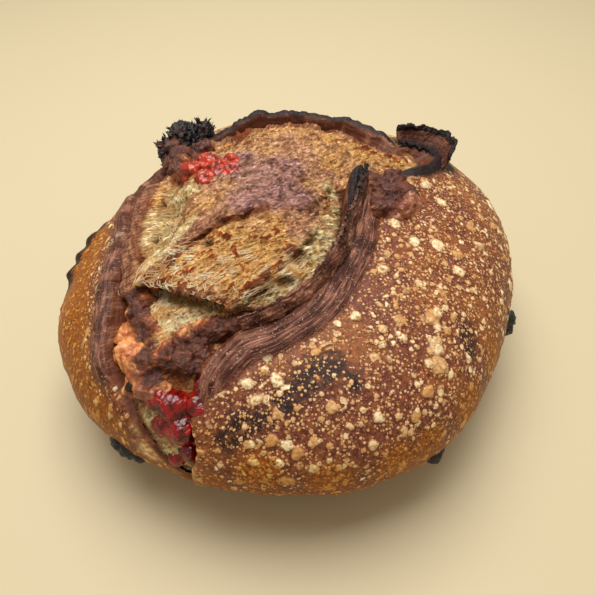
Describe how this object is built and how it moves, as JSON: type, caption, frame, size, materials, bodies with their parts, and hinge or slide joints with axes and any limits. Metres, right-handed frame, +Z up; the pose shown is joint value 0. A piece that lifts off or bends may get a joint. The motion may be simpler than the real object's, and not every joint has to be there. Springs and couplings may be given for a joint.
{
  "type": "sheep cheese cranberry loaf",
  "caption": "Round crusty loaf, burst open along its score, with melted cheese lumps and cranberries in the tear.",
  "frame": {"origin": "middle of the underside of the loaf's box, on the board it rests on", "axes": "+Z up; -Y towards the front corner of the opening, where the cranberries show; +X to the loaf's right side as seen from the front"},
  "size_m": [0.2214, 0.2454, 0.0986],
  "materials": {
    "crust": "baked crust, purple-brown with cream blisters, golden at the base, pale open crumb",
    "cheese": "melted and browned cheese, glossy",
    "charred_cheese": "charred black, rough",
    "cranberry": "burst wet berry, deep red, glossy"
  },
  "bodies": {
    "root": {"loaf": "crust", "cheese_front_left": "cheese", "cheese_front_middle": "cheese", "cheese_back_left": "charred_cheese", "cheese_back_right": "cheese", "cranberry_front": "cranberry", "cranberry_drip": "cranberry", "cranberry_back": "cranberry", "burnt_drip_left": "charred_cheese", "burnt_drip_front": "charred_cheese", "burnt_drip_right": "charred_cheese"}
  },
  "joints": []
}
